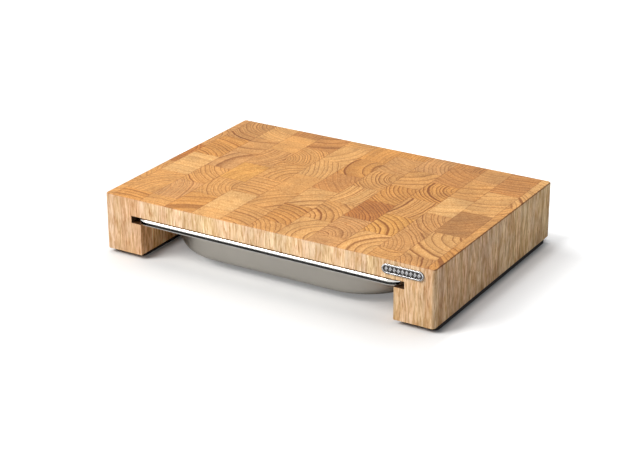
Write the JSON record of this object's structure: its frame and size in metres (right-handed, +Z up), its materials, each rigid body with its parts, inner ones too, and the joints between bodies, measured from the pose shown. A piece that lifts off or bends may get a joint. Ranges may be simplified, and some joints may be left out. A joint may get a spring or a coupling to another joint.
{
  "type": "cutting board with drawer tray",
  "caption": "End-grain cutting board on two grooved side rails, with a pressed steel tray that slides under it on its rim.",
  "frame": {"origin": "middle of the board's footprint, on the surface that its anti-slip strips stand on", "axes": "+X to the right along the board's long side, +Y from the front, where the badge is, to the back, +Z up through the cutting face"},
  "size_m": [0.393, 0.2735, 0.0679],
  "materials": {
    "end_grain_wood": "oiled end grain on top, vertical grain on the sides",
    "tray_steel": "satin basin, polished rolled rim",
    "strip_rubber": "matt black",
    "badge_metal": "polished border and lozenges on a darkened field",
    "badge_adhesive": "thin foam adhesive pad"
  },
  "bodies": {
    "board": {"left_edge_strip": "end_grain_wood", "left_rail": "end_grain_wood", "slab_lamella_1": "end_grain_wood", "slab_lamella_2": "end_grain_wood", "slab_lamella_3": "end_grain_wood", "slab_lamella_4": "end_grain_wood", "slab_lamella_5": "end_grain_wood", "slab_lamella_6": "end_grain_wood", "slab_lamella_7": "end_grain_wood", "slab_lamella_8": "end_grain_wood", "slab_lamella_9": "end_grain_wood", "right_rail": "end_grain_wood", "right_edge_strip": "end_grain_wood", "left_anti_slip_strip": "strip_rubber", "right_anti_slip_strip": "strip_rubber", "badge_plate": "badge_metal", "badge_adhesive_pad": "badge_adhesive"},
    "tray": {"tray": "tray_steel"}
  },
  "joints": [
    {"name": "tray_slide", "type": "slide", "parent": "board", "child": "tray", "axis": [0, -1, 0], "range_m": [-0.272, 0.272]}
  ]
}
